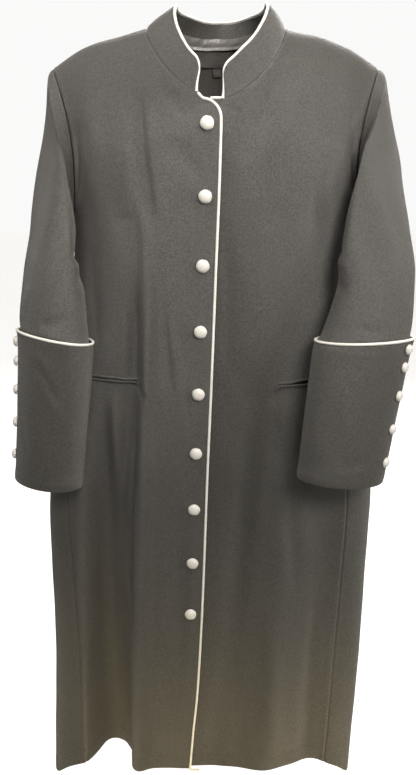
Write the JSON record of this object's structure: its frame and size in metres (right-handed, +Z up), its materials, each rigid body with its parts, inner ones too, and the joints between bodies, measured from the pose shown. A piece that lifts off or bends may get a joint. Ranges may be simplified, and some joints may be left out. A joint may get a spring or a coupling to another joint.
{
  "type": "clergy robe",
  "caption": "Long black clergy robe in its worn form, open at neck, hem and cuffs, with a stand collar, deep cuffs, white piping and covered buttons down the front.",
  "frame": {"origin": "middle between the two points where the shoulder seams meet the collar", "axes": "+Z up, the front faces -Y, the wearer's left is +X"},
  "size_m": [0.6465, 0.316, 1.4],
  "materials": {
    "robe_cloth": "matt twill",
    "white_trim": "soft satin",
    "satin_lining": "satin",
    "label_cloth": "woven tape"
  },
  "bodies": {
    "root": {"back": "robe_cloth", "front_right": "robe_cloth", "front_left": "robe_cloth", "sleeve_right": "robe_cloth", "sleeve_left": "robe_cloth", "cuff_right": "robe_cloth", "cuff_left": "robe_cloth", "collar": "robe_cloth", "welt_right_upper": "robe_cloth", "welt_right_lower": "robe_cloth", "welt_left_upper": "robe_cloth", "welt_left_lower": "robe_cloth", "piping_front_edge": "white_trim", "piping_collar": "white_trim", "piping_under_front": "white_trim", "piping_cuff_right": "white_trim", "piping_cuff_left": "white_trim", "back_lining": "satin_lining", "neck_facing": "satin_lining", "label": "label_cloth", "size_tag": "label_cloth", "button_1": "white_trim", "button_2": "white_trim", "button_3": "white_trim", "button_4": "white_trim", "button_5": "white_trim", "button_6": "white_trim", "button_7": "white_trim", "button_8": "white_trim", "button_9": "white_trim", "cuff_button_right_1": "white_trim", "cuff_button_right_2": "white_trim", "cuff_button_right_3": "white_trim", "cuff_button_right_4": "white_trim", "cuff_button_right_5": "white_trim", "cuff_button_left_1": "white_trim", "cuff_button_left_2": "white_trim", "cuff_button_left_3": "white_trim", "cuff_button_left_4": "white_trim", "cuff_button_left_5": "white_trim"}
  },
  "joints": []
}
